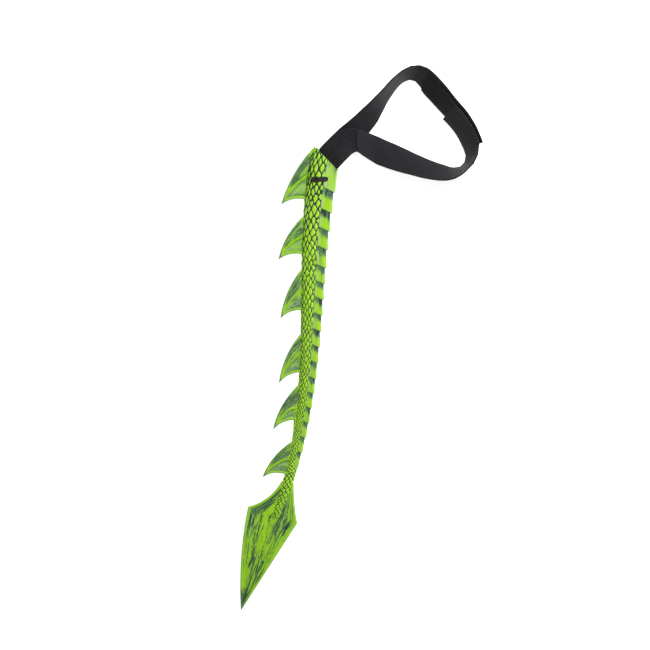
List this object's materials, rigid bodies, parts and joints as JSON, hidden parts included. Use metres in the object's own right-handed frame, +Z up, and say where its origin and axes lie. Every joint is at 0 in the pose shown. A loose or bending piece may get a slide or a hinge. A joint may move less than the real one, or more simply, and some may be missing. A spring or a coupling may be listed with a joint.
{
  "type": "costume dragon tail with waist belt",
  "caption": "Flat foam dragon tail with back fins, belly plates and a spade-shaped tip, on an elastic waist belt with hook-and-loop closure.",
  "frame": {"origin": "on the floor under the middle of the whole object's bounding box, as it lies on its left side", "axes": "+Y from the blade's tip towards the belt, +X from the fins towards the belly plates and the belt loop, +Z up from the floor through the tail's thickness"},
  "size_m": [0.2843, 0.6386, 0.0323],
  "materials": {
    "foam_skin": "semi-gloss painted foam skin, dark wash in the grooves",
    "foam_plate": "semi-gloss painted foam",
    "foam_sheet": "semi-gloss painted foam",
    "webbing": "matte woven elastic",
    "hook_tape": "matte hook tape",
    "loop_tape": "matte napped loop tape",
    "cord": "matte cord"
  },
  "bodies": {
    "tail_top": {"fin_1": "foam_sheet", "right_cover_1": "foam_skin", "left_cover_1": "foam_skin", "belly_plate_1": "foam_plate", "belly_plate_2": "foam_plate", "belt_tack": "cord", "upper_strap_tongue": "webbing", "lower_strap_tongue": "webbing"},
    "tail_length_2": {"fin_2": "foam_sheet", "right_cover_2": "foam_skin", "left_cover_2": "foam_skin", "belly_plate_3": "foam_plate", "belly_plate_4": "foam_plate", "belly_plate_5": "foam_plate"},
    "tail_length_3": {"fin_3": "foam_sheet", "right_cover_3": "foam_skin", "left_cover_3": "foam_skin", "belly_plate_6": "foam_plate", "belly_plate_7": "foam_plate", "belly_plate_8": "foam_plate", "belly_plate_9": "foam_plate"},
    "tail_length_4": {"fin_4": "foam_sheet", "right_cover_4": "foam_skin", "left_cover_4": "foam_skin", "belly_plate_10": "foam_plate", "belly_plate_11": "foam_plate", "belly_plate_12": "foam_plate"},
    "tail_length_5": {"fin_5": "foam_sheet", "right_cover_5": "foam_skin", "left_cover_5": "foam_skin", "belly_plate_13": "foam_plate", "belly_plate_14": "foam_plate", "belly_plate_15": "foam_plate", "belly_plate_16": "foam_plate"},
    "tail_length_6": {"fin_6": "foam_sheet", "right_cover_6": "foam_skin", "left_cover_6": "foam_skin", "belly_plate_17": "foam_plate", "belly_plate_18": "foam_plate"},
    "tail_end": {"tail_blade": "foam_sheet", "right_cover_7": "foam_skin", "left_cover_7": "foam_skin"},
    "belt_base": {"upper_strap": "webbing", "lower_strap": "webbing"},
    "belt_hook_end": {"hook_end": "webbing", "hook_patch": "hook_tape"},
    "belt_loop_end": {"loop_end": "webbing", "loop_patch": "loop_tape"}
  },
  "joints": [
    {"name": "tail_flex_1", "type": "hinge", "parent": "tail_top", "child": "tail_length_2", "pos_m": [-0.05155, 0.14877, 0.01243], "axis": [1, 0, 0], "range_deg": [-15, 15], "stiffness_Nm_per_rad": 0.1},
    {"name": "tail_flex_2", "type": "hinge", "parent": "tail_length_2", "child": "tail_length_3", "pos_m": [-0.05622, 0.08378, 0.01117], "axis": [1, 0, 0], "range_deg": [-15, 15], "stiffness_Nm_per_rad": 0.08},
    {"name": "tail_flex_3", "type": "hinge", "parent": "tail_length_3", "child": "tail_length_4", "pos_m": [-0.05968, 0.0093, 0.00971], "axis": [1, 0, 0], "range_deg": [-18, 18], "stiffness_Nm_per_rad": 0.06},
    {"name": "tail_flex_4", "type": "hinge", "parent": "tail_length_4", "child": "tail_length_5", "pos_m": [-0.06362, -0.04669, 0.00862], "axis": [1, 0, 0], "range_deg": [-20, 20], "stiffness_Nm_per_rad": 0.05},
    {"name": "tail_flex_5", "type": "hinge", "parent": "tail_length_5", "child": "tail_length_6", "pos_m": [-0.07335, -0.11618, 0.00727], "axis": [1, 0, 0], "range_deg": [-22, 22], "stiffness_Nm_per_rad": 0.035},
    {"name": "tail_flex_6", "type": "hinge", "parent": "tail_length_6", "child": "tail_end", "pos_m": [-0.08516, -0.16467, 0.00632], "axis": [1, 0, 0], "range_deg": [-25, 25], "stiffness_Nm_per_rad": 0.025},
    {"name": "belt_fold", "type": "hinge", "parent": "tail_top", "child": "belt_base", "pos_m": [-0.0387, 0.20966, 0.01362], "axis": [0.7169, -0.697, -0.0136], "range_deg": [-70, 70]},
    {"name": "hook_end_swing", "type": "hinge", "parent": "belt_base", "child": "belt_hook_end", "pos_m": [0.0571, 0.31015, 0.01502], "axis": [0.0491, 0.4496, 0.8919], "range_deg": [0, 60]},
    {"name": "loop_end_swing", "type": "hinge", "parent": "belt_base", "child": "belt_loop_end", "pos_m": [0.1187, 0.1973, 0.01665], "axis": [0.1798, -0.205, 0.9621], "range_deg": [0, 45]}
  ]
}
